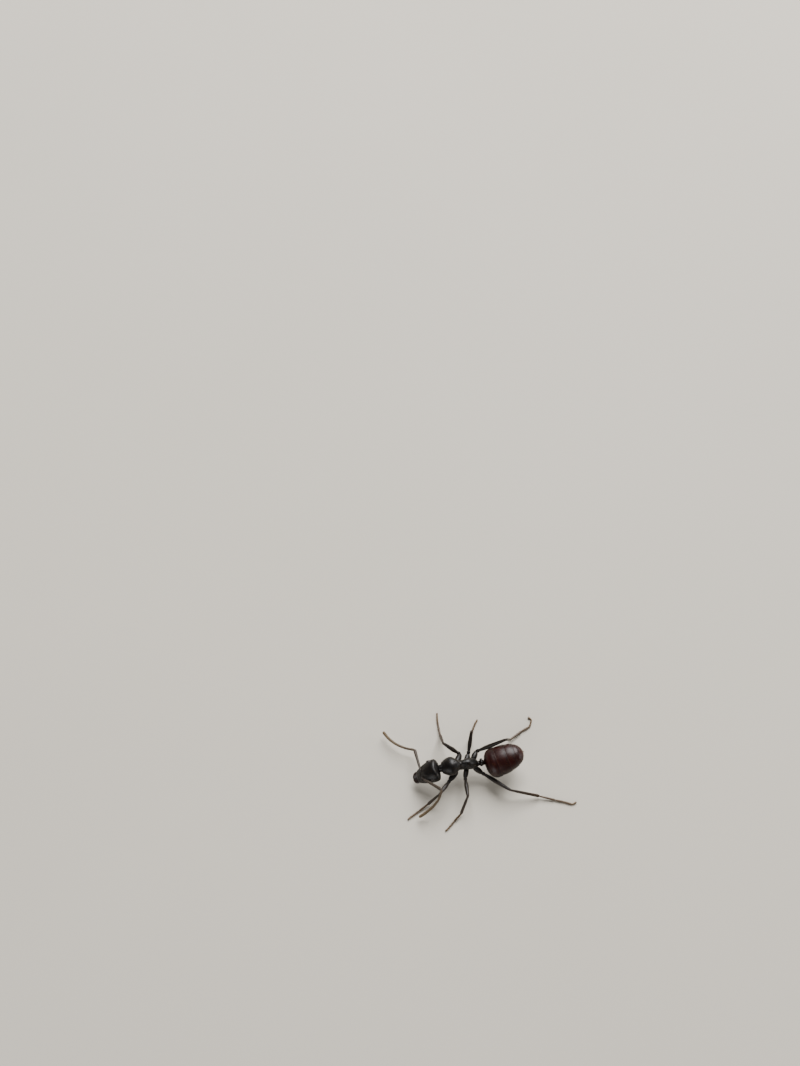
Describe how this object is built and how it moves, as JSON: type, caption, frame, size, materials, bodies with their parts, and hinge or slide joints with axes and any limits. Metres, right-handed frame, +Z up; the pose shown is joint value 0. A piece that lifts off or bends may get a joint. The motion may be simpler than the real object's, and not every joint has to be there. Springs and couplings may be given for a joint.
{
  "type": "ant",
  "caption": "Still, life-size ant worker with a black head and trunk and a dark red-brown gaster, standing on bent legs with its elbowed feelers spread.",
  "frame": {"origin": "on the floor under the middle of the whole animal's box", "axes": "the head points along -Y, the ant's left is +X, +Z up; the soles of the six feet lie on z = 0"},
  "size_m": [0.0136, 0.0196, 0.0038],
  "materials": {
    "shell": "satin",
    "gaster": "gloss",
    "eye": "satin",
    "jaw": "satin",
    "leg": "satin",
    "foot": "satin",
    "feeler": "satin"
  },
  "bodies": {
    "root": {"head": "shell", "mandible_left": "jaw", "eye_left": "eye", "scape_left": "feeler", "funiculus_left": "feeler", "mandible_right": "jaw", "eye_right": "eye", "scape_right": "feeler", "funiculus_right": "feeler", "pronotum": "shell", "mesothorax": "shell", "propodeum": "shell", "petiole": "shell", "gaster_1": "gaster", "gaster_2": "gaster", "gaster_3": "gaster", "gaster_4": "gaster", "gaster_5": "gaster", "coxa_front_left": "leg", "femur_front_left": "leg", "tibia_front_left": "leg", "tarsus_front_left": "foot", "coxa_front_right": "leg", "femur_front_right": "leg", "tibia_front_right": "leg", "tarsus_front_right": "foot", "coxa_middle_left": "leg", "femur_middle_left": "leg", "tibia_middle_left": "leg", "tarsus_middle_left": "foot", "coxa_middle_right": "leg", "femur_middle_right": "leg", "tibia_middle_right": "leg", "tarsus_middle_right": "foot", "coxa_hind_left": "leg", "femur_hind_left": "leg", "tibia_hind_left": "leg", "tarsus_hind_left": "foot", "coxa_hind_right": "leg", "femur_hind_right": "leg", "tibia_hind_right": "leg", "tarsus_hind_right": "foot"}
  },
  "joints": []
}
